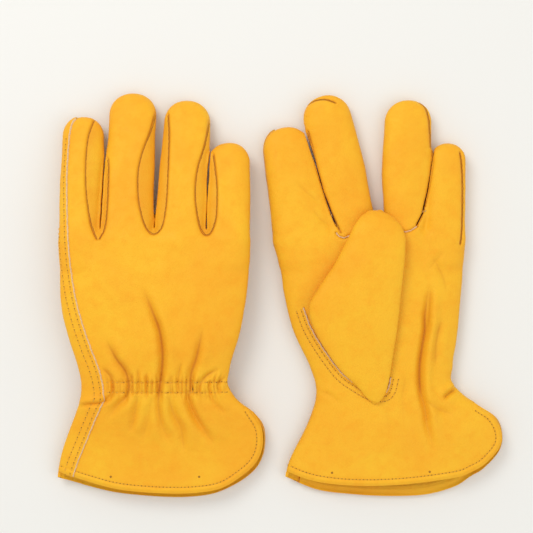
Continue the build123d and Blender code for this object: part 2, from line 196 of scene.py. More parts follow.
# The thumb: distance along its axis, left and right edge, half thickness.
THUMB_START = np.array([-26, 20])
THUMB_END = np.array([-3.2, 111])
THUMB = [(-25.6, 25.6, 28, 0.5), (-24, 22.2, 29.6, 1.6), (-18.5, 14.5, 32, 2.4), (-11.7, 2.4, 32.4, 3),
         (-0.6, -11, 31.6, 3.6), (11, -22, 30.4, 4.3), (24, -28.6, 29.2, 4.9), (34, -26.6, 27.8, 5.3),
         (54, -19.6, 25, 5.6), (74, -14.8, 21.8, 5.5), (84, -12.2, 18.8, 4.9), (90, -8.8, 13.2, 3.8),
         (93.4, -4, 6.4, 2.2), (94.2, -1, 3, 0.6)]
THUMB_SEAM = [(-50.4, 50.3), (-45.7, 37.6), (-37.8, 24), (-26.2, 8.6), (-15.6, 0.8), (-7.7, -3.4),
              (-1.1, -4.4), (1.6, -2.4), (3.6, 5.4)]
LAP = [(-58.4, -95), (-55.4, -72), (-51.5, -53), (-43.1, -32), (-35.2, -14), (-32.2, -7.6), (-32.4, 2),
       (-34.8, 13), (-39.6, 26), (-45, 42), (-49.6, 60), (-52.6, 80), (-54.6, 110), (-55.2, 140),
       (-53.6, 165), (-50.6, 172)]
ELASTIC_ROWS = (-2, 4.5)


# Curves and tables.
def unit(rows):
    """Each row at length 1."""
    return rows / np.maximum(np.linalg.norm(rows, axis=1), 1e-9)[:, None]


def level(ways):
    """Directions on the plan, as directions in space."""
    return np.column_stack([ways, np.zeros(len(ways))])


def curve(points, step=0.8):
    """A smooth line through points, as points about a step apart."""
    p = np.array(points, float)
    p = np.vstack([2 * p[0] - p[1], p, 2 * p[-1] - p[-2]])
    out = []
    for a, b, c, d in zip(p, p[1:], p[2:], p[3:]):
        n = max(2, int(np.linalg.norm(c - b) / step))
        t = np.linspace(0, 1, n, endpoint=False)[:, None]
        out.append(0.5 * (2 * b + (c - a) * t + (2 * a - 5 * b + 4 * c - d) * t**2
                          + (3 * b - a - 3 * c + d) * t**3))
    out.append(p[-2][None])
    return np.vstack(out)


def even(points, spacing):
    """Points at even spacing along a line, with the line's direction at each."""
    p = np.asarray(points, float)
    length = np.concatenate([[0], np.cumsum(np.linalg.norm(np.diff(p, axis=0), axis=1))])
    at = np.arange(spacing / 2, length[-1], spacing)

    def spots(at):
        return np.column_stack([np.interp(at, length, p[:, k]) for k in (0, 1)])

    return spots(at), unit(spots(at + 0.4) - spots(at - 0.4))


def beside(points, distance):
    """A line moved to the left of the way it runs."""
    p = np.asarray(points, float)
    way = unit(np.gradient(p, axis=0))
    return p + distance * np.stack([-way[:, 1], way[:, 0]], 1)


def column(rows, key, at):
    """A smooth table lookup: column number key of rows, whose first column is at."""
    xs = np.array([r[0] for r in rows], float)
    ys = np.array([r[key] for r in rows], float)
    fine = np.linspace(xs[0], xs[-1], 600)
    slope = np.gradient(ys, xs)
    i = np.clip(np.searchsorted(xs, fine) - 1, 0, len(xs) - 2)
    h = xs[i + 1] - xs[i]
    t = (fine - xs[i]) / h
    smooth = ((2 * t**3 - 3 * t**2 + 1) * ys[i] + (t**3 - 2 * t**2 + t) * h * slope[i]
              + (-2 * t**3 + 3 * t**2) * ys[i + 1] + (t**3 - t**2) * h * slope[i + 1])
    return np.interp(at, fine, smooth)


def to_line(points, line):
    """Distance of each point to a line, signed: positive on the left of the way it runs."""
    line = np.asarray(line, float)
    best = np.full(len(points), 1e9)
    sign = np.ones(len(points))
    share = np.zeros(len(points))
    total = len(line) - 1
    for k in range(total):
        a, b = line[k], line[k + 1]
        ab = b - a
        t = np.clip(((points - a) @ ab) / max(ab @ ab, 1e-12), 0, 1)
        off = points - (a + t[:, None] * ab)
        d = np.hypot(off[:, 0], off[:, 1])
        near = d < best
        best[near] = d[near]
        cross = ab[0] * off[:, 1] - ab[1] * off[:, 0]
        sign[near] = np.where(cross[near] >= 0, 1, -1)
        share[near] = (k + t[near]) / total
    return best, sign, share


def lap_line(glove):
    """The raw edge of the lapped strip, up the index side of the back. It leans with the finger."""
    root, tip, *_ = glove["fingers"]["index"]
    first, last, *_ = RIGHT["fingers"]["index"]
    lean = (tip[0] - root[0]) / (tip[1] - root[1]) - (last[0] - first[0]) / (last[1] - first[1])
    stretch = (tip[1] - root[1]) / (last[1] - first[1])
    line = []
    for x, y in LAP:
        aside = (root[0] - first[0]) * min(max((y - 60) / 35, 0), 1)
        past = max(y - KNUCKLE, 0) * stretch
        line.append((x + aside + lean * past, min(y, KNUCKLE) + past))
    return curve(line)


# The field of distances that a glove's skin is taken from.
def axes():
    """The places of the samples along x, y and z."""
    counts = ((HIGH - LOW) / CELL).astype(int)
    return [LOW[k] + CELL * np.arange(counts[k]) for k in range(3)]


def distance(ratio):
    gx, gy, gz = np.gradient(ratio, CELL)
    return (ratio - 1) / np.maximum(np.sqrt(gx * gx + gy * gy + gz * gz), 0.008)


def smooth_min(a, b, k):
    h = np.maximum(k - np.abs(a - b), 0) / k
    return np.minimum(a, b) - h * h * k / 4


def hand_field(glove):
    x, y, z = axes()
    left = column(glove["hand"], 1, y)
    right = column(glove["hand"], 2, y)
    middle = column(glove["hand"], 3, y)
    half = column(glove["hand"], 4, y)
    across = np.abs(x[:, None] - (left + right) / 2) / ((right - left) / 2)
    end = np.clip(y - (KNUCKLE - 3), 0, None) / 7.0
    up = np.abs(z[None, :] - middle[:, None]) / half[:, None]
    ratio = (across[:, :, None] ** POWER + up[None] ** POWER + end[None, :, None] ** POWER) ** (1 / POWER)
    return distance(ratio.astype(np.float32))


def finger_mid(glove, along_y):
    rise = column(glove["hand"], 3, KNUCKLE)
    return rise + glove["slope"] * np.maximum(along_y, 0)


def finger_field(glove, name, field):
    """Adds a finger to the field of the hand, near the finger only."""
    root, tip, root_width, mid_width, tip_width = glove["fingers"][name]
    root, tip = np.array(root, float), np.array(tip, float)
    length = np.linalg.norm(tip - root)
    way = (tip - root) / length
    side = np.array([way[1], -way[0]])
    x, y, z = axes()
    reach = max(root_width, mid_width, tip_width) / 2 + 7
    xs = np.array([root[0] - way[0] * 24, tip[0]])
    ix = np.where((x > xs.min() - reach) & (x < xs.max() + reach))[0]
    iy = np.where((y > root[1] - 24) & (y < tip[1] + 7))[0]
    sub = np.s_[ix[0]:ix[-1] + 1, iy[0]:iy[-1] + 1, :]
    x, y = x[sub[0]], y[sub[1]]
    along = (x[:, None] - root[0]) * way[0] + (y[None, :] - root[1]) * way[1]
    across = (x[:, None] - root[0]) * side[0] + (y[None, :] - root[1]) * side[1]
    dome = tip_width / 2
    wide = np.interp(along, [-24, 0, length * 0.45, length - dome],
                     [root_width - 6, root_width, mid_width, tip_width]) / 2
    root_half, tip_half = glove["half"]
    thick = np.interp(along, [-24, 0, length * 0.5, length],
                      [root_half - 1.5, root_half, root_half - 0.1, tip_half])
    past = np.clip(along - (length - dome), 0, None) / dome
    before = np.clip(-14 - along, 0, None) / 8
    mid = finger_mid(glove, along * way[1])
    up = np.abs(z[None, None, :] - mid[:, :, None]) / thick[:, :, None]
    flat = (np.abs(across) / wide) ** (POWER - 0.35 * np.clip(3 * past, 0, 1)) + past**2.1 + before**2
    ratio = (flat[:, :, None] + up**POWER) ** (1 / POWER)
    return sub, smooth_min(distance(ratio.astype(np.float32)), field[sub], 3.0)


def parted(glove, spots):
    """Which finger each spot belongs to, counted from the index finger, and how far it is from a parting."""
    owner = np.zeros(len(spots), int)
    away = np.full(len(spots), 1e9)
    for line in glove["partings"]:
        d, sign, _ = to_line(spots, line)
        owner += sign < 0
        away = np.minimum(away, d)
    return owner, away


def part_fingers(glove, field):
    """Opens a narrow slot between fingers that touch, so that each has walls of its own when it bends."""
    x, y, _ = axes()
    spots = np.column_stack([np.repeat(x, len(y)), np.tile(y, len(x))])
    away = parted(glove, spots)[1].reshape(len(x), len(y))
    slot = np.minimum(SLOT, (y - KNUCKLE - 6) / 4)[None, :] - away
    return np.maximum(field, slot[:, :, None])


def palm_rise(glove, y):
    """The palm's outer face along the middle of the hand."""
    on_hand = np.minimum(y, KNUCKLE)
    heights = column(glove["hand"], 3, on_hand) + glove["front"] * column(glove["hand"], 4, on_hand)
    return heights + glove["slope"] * np.maximum(y - KNUCKLE, 0)


def thumb_field(glove):
    x, y, z = axes()
    way = (THUMB_END - THUMB_START) / np.linalg.norm(THUMB_END - THUMB_START)
    along = (x[:, None] - THUMB_START[0]) * way[0] + (y[None, :] - THUMB_START[1]) * way[1]
    across = (x[:, None] - THUMB_START[0]) * way[1] - (y[None, :] - THUMB_START[1]) * way[0]
    left = column(THUMB, 1, along)
    right = column(THUMB, 2, along)
    half = np.interp(along, [r[0] for r in THUMB], [r[3] for r in THUMB])
    f = glove["front"]
    # The thumb clears the highest palm a little behind and ahead of each spot.
    rises = [palm_rise(glove, np.clip(np.broadcast_to(y[None, :] + d, along.shape), -84, 140)) * f
             for d in (-6, 0, 5)]
    palm = np.max(rises, axis=0)
    middle = f * (palm + 0.35 + half)
    outside = np.clip(np.maximum(-25.8 - along, along - 94.6), 0, None)
    flat = (np.abs(across - (left + right) / 2) / np.maximum((right - left) / 2, 0.6)) ** 2.6 + outside * 2
    up = np.abs(z[None, None, :] - middle[:, :, None]) / half[:, :, None]
    ratio = (flat[:, :, None] + up**2.4) ** (1 / 2.4)
    return distance(ratio.astype(np.float32))


def skin(field):
    """The field's surface as points in glove millimetres and quads."""
    grid = openvdb.FloatGrid(6.0)
    grid.copyFromArray(np.clip(field, -6, 6).astype(np.float32))
    points, triangles, quads = grid.convertToPolygons(isovalue=0.0, adaptivity=0.0)
    points = points * CELL + LOW
    return points, quads


def relax(points, quads, rounds):
    """Evens out the grid's steps by averaging, alternately in and out so that nothing shrinks."""
    a = quads.ravel()
    b = np.roll(quads, -1, axis=1).ravel()
    i = np.concatenate([a, b])
    j = np.concatenate([b, a])
    count = np.bincount(i, minlength=len(points)).astype(float)[:, None]
    for r in range(rounds):
        sums = [np.bincount(i, weights=points[j, k], minlength=len(points)) for k in range(3)]
        mean = np.stack(sums, 1) / count
        points = points + (0.6 if r % 2 == 0 else -0.61) * (mean - points)
    return points


def normals_of(points, quads):
    p = points[quads]
    face = np.cross(p[:, 2] - p[:, 0], p[:, 3] - p[:, 1])
    out = np.stack([np.bincount(quads.ravel(), weights=np.repeat(face[:, k], 4), minlength=len(points))
                    for k in range(3)], 1)
    return out / np.maximum(np.linalg.norm(out, axis=1), 1e-12)[:, None]


def dent(d, width):
    return np.exp(-((d / width) ** 2))


# Sculpting: seams sink, creases fold, gathers ripple and the leather lies a little uneven.
def unevenness(points, size, seed):
    """A smooth random height, about -1 to 1, with bumps about as wide as size."""
    rng = np.random.default_rng(seed)
    total = np.zeros(len(points))
    for _ in range(9):
        angle = rng.uniform(0, 2 * math.pi)
        wave = rng.uniform(0.7, 1.5) * 2 * math.pi / (2 * size)
        total += np.sin((points[:, 0] * math.cos(angle) + points[:, 1] * math.sin(angle)) * wave
                        + points[:, 2] * wave * 0.7 + rng.uniform(0, 6.28))
    return total / 4


def crease_height(flat, creases):
    """How far creases lift or sink each spot, and how much painted shade darkens them."""
    height = np.zeros(len(flat))
    shade = np.zeros(len(flat))
    for line, depth, width in creases:
        path = curve(line, 1.5)
        near = np.where((flat[:, 0] > path[:, 0].min() - 9) & (flat[:, 0] < path[:, 0].max() + 9)
                        & (flat[:, 1] > path[:, 1].min() - 9) & (flat[:, 1] < path[:, 1].max() + 9))[0]
        d, sign, share = to_line(flat[near], path)
        taper = np.clip(np.sin(math.pi * np.clip(share, 0.015, 0.985)) * 1.5, 0, 1) ** 0.8
        fade = np.where((share <= 0) | (share >= 1), dent(d, 2.5), 1)
        lean = 1 + 0.45 * sign
        lips = 0.42 * lean * dent(d - 2.1 * width, 1.5 * width)
        height[near] += taper * fade * depth * (-dent(d, width) + lips)
        soft = np.clip((flat[near, 1] + 14) / 14, 0.42, 1)
        # Painted shade in the crease: a sharp dark core and a softer band, weaker toward the cuff.
        core = 0.8 * dent(d, 0.3 * width) + 0.34 * dent(d, 0.9 * width)
        shade[near] = np.maximum(shade[near], taper * fade * soft * core * min(1, depth / 2.2))
    return height, shade


def gathers(x_low, x_high, seed):
    """Small pleats across the elastic, as short creases of uneven length and depth."""
    rng = np.random.default_rng(seed)
    pleats = []
    x = x_low + rng.uniform(0, 2)
    while x < x_high:
        lean = (x - (x_low + x_high) / 2) / 40 + rng.uniform(-0.12, 0.12)
        top, bottom = rng.uniform(5.5, 12), rng.uniform(-9, -3)
        bow = rng.uniform(-0.5, 0.5)
        line = [(x + lean * 2.2, top), (x + bow * 0.6, top * 0.4 + 0.6), (x + bow, 0),
                (x + lean * 2.0, bottom)]
        pleats.append((line, rng.uniform(0.45, 1.05), rng.uniform(0.7, 1.15)))
        x += rng.uniform(1.9, 4.2)
    return pleats


def sculpt(glove, other, points, normals):
    """Heights along the normal and shading for the skin of the hand and its fingers."""
    flat = points[:, :2]
    f = glove["front"]
    shown = np.clip(normals[:, 2] * 1.6, 0, 1)
    under = np.clip(-normals[:, 2] * 1.6, 0, 1)
    # dark and dark_under are the creases' painted shade, on the shown side and on the underside.
    rise, dark = crease_height(flat, glove["creases"])
    rise_under, dark_under = crease_height(flat, other["creases"])
    height = rise * shown + rise_under * under * 0.35
    shade = dark * shown + dark_under * under * 0.6
    for seam, wall in zip(glove["seams"], glove["walls"]):
        path = curve(seam, 1.2)
        d, sign, share = to_line(flat, path)
        fade = np.where((share <= 0) | (share >= 1), dent(d, 2.0), 1)
        long = np.sum(np.linalg.norm(np.diff(path, axis=0), axis=1))
        ends = np.clip(share * long / 9, 0, 1) * np.clip((1 - share) * long / 9, 0, 1)
        height += shown * fade * (-1.3 * dent(d, 0.8) + 0.3 * dent(d - 2.8, 2.0) * (sign != wall))
        # Painted shade along the seam's groove.
        shade = np.maximum(shade, shown * fade * dent(d, 0.5) * 0.95)
        if wall:
            side = shown * fade * ends * (sign == wall) * np.clip(d / 1.2, 0, 1) * dent(d, 8)
            height -= 1.0 * side
            # Painted shade on the finger's lowered side wall.
            shade = np.maximum(shade, 0.22 * side)
    for x, y, wide, tall, lift in glove["swells"]:
        height += lift * dent(flat[:, 0] - x, wide) * dent(flat[:, 1] - y, tall) * shown
    back = shown if f < 0 else under
    x, y = flat[:, 0], flat[:, 1]
    band = np.clip((x + 31) / 5, 0, 1) * np.clip((46 - x) / 5, 0, 1)
    for row in ELASTIC_ROWS:
        height += back * band * (-0.55 * dent(y - row, 1.0))
        # Painted shade in the grooves along the elastic's rows.
        shade = np.maximum(shade, back * band * 0.22 * dent(y - row, 0.7))
    ripple = np.sin(x * 1.32 + 1.3 * np.sin(x * 0.21) + 0.35 * y * np.sin(x * 0.4))
    height += back * band * dent(y - 1.2, 7.5) * 0.30 * ripple
    pleats, pleat_shade = crease_height(flat, gathers(x_low=-29, x_high=42, seed=3 + (f > 0)))
    height += back * pleats
    # Painted shade in the pleats of the gathers.
    shade = np.maximum(shade, back * pleat_shade)
    hem = glove["back_hem"] if f < 0 else glove["palm_hem"]
    hem_under = glove["palm_hem"] if f < 0 else glove["back_hem"]
    for line, side in ((hem, shown), (hem_under, under)):
        d, _, _ = to_line(flat, curve(line, 1.2))
        height += side * (-0.30 * dent(d - 4.0, 0.8) + 0.28 * dent(d - 2.2, 1.3) - 0.75 * dent(d, 0.9))
    wide_bumps = unevenness(points, 26, 5 + (f > 0))
    mid_bumps = unevenness(points, 9, 8 + (f > 0))
    calm = np.clip(1 - np.abs(normals[:, 2]) * 0.2, 0, 1)
    height += calm * (0.34 * wide_bumps + 0.10 * mid_bumps)
    return height, shade


# Meshes.
def make_mesh(name, points, faces, normals, shade, kinds, materials):
    """An object in metres from points in the millimetres of the row frame, kept above the table."""
    points = np.column_stack([points[:, :2], np.maximum(points[:, 2], 0.03)])
    mesh = bpy.data.meshes.new(name)
    mesh.vertices.add(len(points))
    mesh.vertices.foreach_set("co", (points * MM).astype(np.float32).ravel())
    mesh.loops.add(faces.size)
    mesh.loops.foreach_set("vertex_index", faces.astype(np.int32).ravel())
    mesh.polygons.add(len(faces))
    mesh.polygons.foreach_set("loop_start", np.arange(0, faces.size, 4, dtype=np.int32))
    mesh.polygons.foreach_set("material_index", kinds.astype(np.int32))
    mesh.update(calc_edges=True)
    mesh.polygons.foreach_set("use_smooth", np.ones(len(faces), bool))
    layer = mesh.attributes.new("shade", "FLOAT", "POINT")
    layer.data.foreach_set("value", shade.astype(np.float32))
    for material in materials:
        mesh.materials.append(material)
    mesh.normals_split_custom_set_from_vertices(normals.astype(np.float32))
    obj = bpy.data.objects.new(name, mesh)
    bpy.context.scene.collection.objects.link(obj)
    return obj


def leather_piece(name, points, quads, normals, inward, shade, thick, raw, turned, materials):
    """A piece of leather: its outer skin, an inner skin thick below it, and its cut edges.

    Per point: thick, raw where an edge is cut rather than folded, and turned where a hem covers the inside.
    """
    used, quads = np.unique(quads, return_inverse=True)
    quads = quads.reshape(-1, 4)
    p, n, s, t, r = points[used], normals[used], shade[used], thick[used], raw[used]
    size = len(p)
    ahead = np.stack([quads, np.roll(quads, -1, axis=1)], 2).reshape(-1, 2)
    key = np.sort(ahead, axis=1) @ np.array([size, 1])
    _, first, count = np.unique(key, return_index=True, return_counts=True)
    rim = ahead[first[count == 1]]
    inner = p - inward[used] * t[:, None]
    inner[:, 2] = np.maximum(inner[:, 2], 0.3)
    ends, where = np.unique(rim, return_inverse=True)
    rim = where.reshape(-1, 2)
    top, bottom = p[ends], inner[ends]
    across = np.cross(top[rim[:, 1]] - top[rim[:, 0]], n[ends][rim[:, 0]])
    rim_normal = np.zeros((len(ends), 3))
    for k in range(3):
        rim_normal[:, k] = sum(np.bincount(rim[:, end], weights=across[:, k], minlength=len(ends))
                               for end in (0, 1))
    rim_normal = unit(rim_normal)
    a, b = 2 * size, 2 * size + len(ends)
    sides = np.stack([rim[:, 1] + a, rim[:, 0] + a, rim[:, 0] + b, rim[:, 1] + b], 1)
    faces = np.vstack([quads, quads[:, ::-1] + size, sides])
    edge_kind = np.where(r[ends][rim[:, 0]] > 0.5, 2, 0)
    inside = np.where(turned[used][quads].mean(axis=1) > 0.5, 0, 1)
    kinds = np.concatenate([np.zeros(len(quads)), inside, edge_kind])
    all_points = np.vstack([p, inner, top, bottom])
    all_normals = np.vstack([n, -n, rim_normal, rim_normal])
    # Painted shade on the cut edges of grain leather: a little at the top, more toward the bottom.
    all_shade = np.concatenate([s, s * 0, s[ends] * 0.2, s[ends] * 0 + 0.35])
    return make_mesh(name, all_points, faces, all_normals, all_shade, kinds, materials)


def snap(points, ids, line, reach=1.2):
    """Moves points sideways onto a line, so that a cut there is clean."""
    d, _, share = to_line(points[ids, :2], line)
    close = d < reach
    at = share[close] * (len(line) - 1)
    steps = np.arange(len(line))
    points[ids[close], :2] = np.column_stack([np.interp(at, steps, line[:, k]) for k in (0, 1)])


def shared(quads, a, b):
    """Points that lie on faces of both kinds."""
    return np.intersect1d(quads[a].ravel(), quads[b].ravel())


# Threads.
def disc(centre, across, along, radius):
    """The points round a small disc."""
    angles = [2 * math.pi * k / DISC_POINTS for k in range(DISC_POINTS)]
    return [centre + (across * math.cos(a) + along * math.sin(a)) * radius for a in angles]


def disc_faces(base):
    """Three quads that fill a disc of eight points."""
    return [(base + 3, base + 2, base + 1, base), (base + 7, base + 4, base + 3, base),
            (base + 7, base + 6, base + 5, base + 4)]


def capsules(name, spots, ways, ups, length, radius, materials):
    """A row of stitches as one mesh, with a disc of painted shadow for the needle hole past the end of each
    stitch.
    """
    turns = 8
    # Along the stitch and its share of the radius there.
    profile = [(-0.5, 0.25), (-0.42, 0.8), (-0.2, 1.0), (0.2, 1.0), (0.42, 0.8), (0.5, 0.25)]
    points, faces, kinds, normals = [], [], [], []
    for spot, way, up in zip(spots, ways, ups):
        side = np.cross(way, up)
        side /= max(np.linalg.norm(side), 1e-9)
        base = len(points)
        for at, share in profile:
            for k in range(turns):
                angle = 2 * math.pi * k / turns
                out = side * math.cos(angle) + up * math.sin(angle)
                lift = up * radius * (0.35 - 1.5 * (abs(at) * 2) ** 3)
                points.append(spot + way * length * at + out * radius * share + lift)
                normals.append(out)
        for j in range(len(profile) - 1):
            for k in range(turns):
                a = base + j * turns + k
                b = base + j * turns + (k + 1) % turns
                faces.append((a, a + turns, b + turns, b))
                kinds.append(0)
        # The disc after each stitch is painted shadow for its needle hole.
        faces.extend(disc_faces(len(points)))
        kinds.extend([1, 1, 1])
        centre = spot + way * (length * 0.5 + radius * 0.9)
        points.extend(disc(centre + up * 0.12, way, side, HOLE_RADIUS))
        normals.extend([up] * DISC_POINTS)
    return make_mesh(name, np.array(points), np.array(faces), np.array(normals), np.zeros(len(points)),
                     np.array(kinds), materials)


def on_skin(tree, flat, from_above):
    """Where lines straight down or up meet the skin, and its normals there."""
    spots, ups, kept = [], [], []
    for i, (x, y) in enumerate(flat):
        start = Vector((x, y, 80 if from_above else -60))
        hit, normal, _, _ = tree.ray_cast(start, Vector((0, 0, -1 if from_above else 1)))
        if hit is None:
            continue
        if (normal.z < 0) == from_above:
            normal = -normal
        spots.append(hit)
        ups.append(normal)
        kept.append(i)
    return np.array(spots), np.array(ups), np.array(kept, int)


def stitch_row(name, tree, line, spacing, from_above, place, radius=0.36, share=0.6):
    spots, ways = even(line, spacing)
    hit, up, kept = on_skin(tree, spots, from_above)
    if len(kept) == 0:
        return None
    way = level(ways[kept])
    way = unit(way - up * np.sum(way * up, axis=1)[:, None])
    return capsules(name, hit + place, way, up, spacing * share, radius, [THREAD, HOLE_SHADOW])


def joined(name, objects):
    objects = [o for o in objects if o is not None]
    with bpy.context.temp_override(active_object=objects[0], selected_editable_objects=objects,
                                   selected_objects=objects):
        bpy.ops.object.join()
    objects[0].name = name
    objects[0].data.name = name
    return objects[0]


# Materials.
def nodes_of(name):
    material = bpy.data.materials.new(name)
    material.use_nodes = True
    tree = material.node_tree
    return material, tree, tree.nodes["Principled BSDF"]


def add(tree, kind, **sockets):
    node = tree.nodes.new(kind)
    for key, value in sockets.items():
        node.inputs[key.replace("_", " ")].default_value = value
    return node


def mix_color(tree, factor, low, high, blend="MIX"):
    node = tree.nodes.new("ShaderNodeMix")
    node.data_type = "RGBA"
    node.blend_type = blend
    for socket, value in ((node.inputs[0], factor), (node.inputs[6], low), (node.inputs[7], high)):
        if isinstance(value, bpy.types.NodeSocket):
            tree.links.new(value, socket)
        else:
            socket.default_value = value
    return node.outputs[2]


def spread(tree, value, low, high, to_low=0.0, to_high=1.0):
    node = add(tree, "ShaderNodeMapRange", From_Min=low, From_Max=high, To_Min=to_low, To_Max=to_high)
    tree.links.new(value, node.inputs["Value"])
    return node.outputs["Result"]


def leather(name, light, main, deep, fold_shade_color, rough, grain):
    """Grain leather: mottled, finely pebbled, with a soft sheen, and painted shade in its folds, seams and
    cut edges from the shade layer.
    """
    material, tree, bsdf = nodes_of(name)
    where = tree.nodes.new("ShaderNodeTexCoord").outputs["Object"]
    soft = add(tree, "ShaderNodeTexNoise", Scale=22.0, Detail=3.0, Roughness=0.55, Distortion=0.6)
    fine = add(tree, "ShaderNodeTexNoise", Scale=150.0, Detail=5.0, Roughness=0.6)
    pores = add(tree, "ShaderNodeTexVoronoi", Scale=1500.0, Randomness=1.0)
    pebble = add(tree, "ShaderNodeTexNoise", Scale=900.0, Detail=3.0, Roughness=0.6)
    veins = add(tree, "ShaderNodeTexNoise", Scale=60.0, Detail=6.0, Roughness=0.65, Distortion=1.2)
    for node in (soft, fine, pores, pebble, veins):
        tree.links.new(where, node.inputs["Vector"])
    color = mix_color(tree, spread(tree, soft.outputs["Fac"], 0.36, 0.66), main, light)
    color = mix_color(tree, spread(tree, fine.outputs["Fac"], 0.46, 0.8, 0.0, 0.35), color, deep)
    color = mix_color(tree, spread(tree, veins.outputs["Fac"], 0.56, 0.75, 0.0, 0.28), color, deep)
    color = mix_color(tree, spread(tree, pebble.outputs["Fac"], 0.5, 0.8, 0.0, 0.16), color, deep)
    # Painted shade: the shade attribute mixes the leather toward the fold shade colour.
    dark = tree.nodes.new("ShaderNodeAttribute")
    dark.attribute_name = "shade"
    color = mix_color(tree, spread(tree, dark.outputs["Fac"], 0.0, 1.0, 0.0, 0.85), color, fold_shade_color)
    tree.links.new(color, bsdf.inputs["Base Color"])
    roughness = spread(tree, fine.outputs["Fac"], 0.3, 0.7, rough - 0.06, rough + 0.1)
    tree.links.new(roughness, bsdf.inputs["Roughness"])
    bsdf.inputs["Specular IOR Level"].default_value = 0.22
    bsdf.inputs["Sheen Weight"].default_value = 0.04
    bsdf.inputs["Sheen Roughness"].default_value = 0.5
    rough_bump = add(tree, "ShaderNodeBump", Strength=grain * 0.9, Distance=0.00035)
    fine_bump = add(tree, "ShaderNodeBump", Strength=grain, Distance=0.00012)
    wrinkle = add(tree, "ShaderNodeBump", Strength=grain * 0.7, Distance=0.0012)
    tree.links.new(veins.outputs["Fac"], wrinkle.inputs["Height"])
    tree.links.new(pebble.outputs["Fac"], rough_bump.inputs["Height"])
    tree.links.new(wrinkle.outputs["Normal"], rough_bump.inputs["Normal"])
    tree.links.new(pores.outputs["Distance"], fine_bump.inputs["Height"])
    tree.links.new(rough_bump.outputs["Normal"], fine_bump.inputs["Normal"])
    tree.links.new(fine_bump.outputs["Normal"], bsdf.inputs["Normal"])
    return material


def plain(name, color, rough, scale=900.0, bump=0.4):
    material, tree, bsdf = nodes_of(name)
    where = tree.nodes.new("ShaderNodeTexCoord").outputs["Object"]
    noise = add(tree, "ShaderNodeTexNoise", Scale=scale, Detail=4.0)
    tree.links.new(where, noise.inputs["Vector"])
    deep = [c * 0.72 for c in color[:3]] + [1.0]
    mottled = mix_color(tree, spread(tree, noise.outputs["Fac"], 0.35, 0.7), deep, color)
    tree.links.new(mottled, bsdf.inputs["Base Color"])
    bsdf.inputs["Roughness"].default_value = rough
    node = add(tree, "ShaderNodeBump", Strength=bump, Distance=0.0003)
    tree.links.new(noise.outputs["Fac"], node.inputs["Height"])
    tree.links.new(node.outputs["Normal"], bsdf.inputs["Normal"])
    return material


# The fourth colour is the painted shade of folds, seams and cut edges.
GRAIN = leather("golden_grain", (0.90, 0.475, 0.018, 1), (0.89, 0.405, 0.014, 1), (0.86, 0.30, 0.010, 1),
                (0.50, 0.14, 0.004, 1), 0.55, 0.6)
SUEDE = plain("suede_inside", (0.82, 0.52, 0.20, 1), 0.95, 700.0, 0.8)
RAW = plain("raw_edge", (0.90, 0.60, 0.32, 1), 0.9, 1200.0, 0.7)
THREAD = plain("thread", (0.88, 0.44, 0.03, 1), 0.7, 2500.0, 0.8)
# Painted shadow: the dark inside of a needle hole.
HOLE_SHADOW = plain("needle_hole_painted_shadow", (0.42, 0.17, 0.012, 1), 0.9, 600.0, 0.2)
# Painted shadow: the dark gap in the join of a seam.
SEAM_SHADOW = plain("seam_painted_shadow", (0.50, 0.19, 0.012, 1), 0.9, 600.0, 0.3)
ELASTIC = plain("elastic", (0.80, 0.76, 0.66, 1), 0.9, 1500.0, 0.8)


# Each glove.
def local_place(side):
    """Where a glove's own origin stands in the row frame, in mm, from its thumb's hinge."""
    joint = next(j for j in frame["joints"] if j["name"] == f"{side}_thumb_swing")
    return np.array([joint["pos_m"][0] / MM + 27.0, joint["pos_m"][1] / MM - 7.4, 0.0])


def joint_of(name):
    joint = next(j for j in frame["joints"] if j["name"] == name)
    return Vector(joint["pos_m"]), Vector(joint["axis"])


